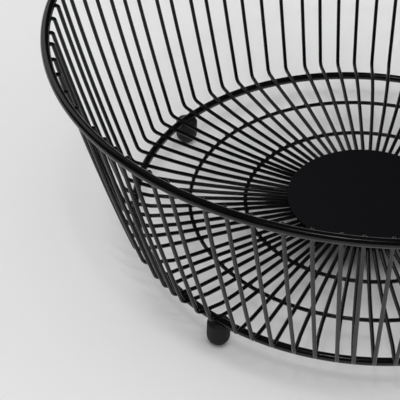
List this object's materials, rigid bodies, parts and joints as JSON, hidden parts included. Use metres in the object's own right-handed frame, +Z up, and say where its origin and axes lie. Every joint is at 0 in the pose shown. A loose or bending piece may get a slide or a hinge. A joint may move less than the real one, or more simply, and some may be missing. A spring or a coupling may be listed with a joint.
{
  "type": "wire basket",
  "caption": "Round black wire basket with a flared side of radial wires, a thick rod rim, a flat centre disc and small domed rubber feet.",
  "frame": {"origin": "on the floor under the centre of the basket, at the bottoms of the feet", "axes": "+Z up along the basket's axis; +X and +Y level"},
  "size_m": [0.2928, 0.2928, 0.1087],
  "materials": {
    "wire_coat": "satin black coat on steel wire",
    "rod_coat": "satin black coat on steel rod",
    "disc_coat": "fine textured matte black coat on sheet steel",
    "foot_rubber": "matte dark grey rubber"
  },
  "bodies": {
    "root": {"wire_pair_01": "wire_coat", "wire_pair_02": "wire_coat", "wire_pair_03": "wire_coat", "wire_pair_04": "wire_coat", "wire_pair_05": "wire_coat", "wire_pair_06": "wire_coat", "wire_pair_07": "wire_coat", "wire_pair_08": "wire_coat", "wire_pair_09": "wire_coat", "wire_pair_10": "wire_coat", "wire_pair_11": "wire_coat", "wire_pair_12": "wire_coat", "wire_pair_13": "wire_coat", "wire_pair_14": "wire_coat", "wire_pair_15": "wire_coat", "wire_pair_16": "wire_coat", "wire_pair_17": "wire_coat", "wire_pair_18": "wire_coat", "wire_pair_19": "wire_coat", "wire_pair_20": "wire_coat", "wire_pair_21": "wire_coat", "wire_pair_22": "wire_coat", "wire_pair_23": "wire_coat", "wire_pair_24": "wire_coat", "wire_pair_25": "wire_coat", "wire_pair_26": "wire_coat", "wire_pair_27": "wire_coat", "wire_pair_28": "wire_coat", "wire_pair_29": "wire_coat", "wire_pair_30": "wire_coat", "wire_pair_31": "wire_coat", "wire_pair_32": "wire_coat", "wire_pair_33": "wire_coat", "wire_pair_34": "wire_coat", "wire_pair_35": "wire_coat", "wire_pair_36": "wire_coat", "wire_pair_37": "wire_coat", "wire_pair_38": "wire_coat", "wire_pair_39": "wire_coat", "wire_pair_40": "wire_coat", "rim_ring": "rod_coat", "base_ring": "rod_coat", "mid_ring": "rod_coat", "inner_ring": "rod_coat", "centre_disc": "disc_coat", "foot_1": "foot_rubber", "foot_2": "foot_rubber", "foot_3": "foot_rubber", "foot_4": "foot_rubber", "foot_peg_1": "rod_coat", "foot_peg_2": "rod_coat", "foot_peg_3": "rod_coat", "foot_peg_4": "rod_coat"}
  },
  "joints": []
}
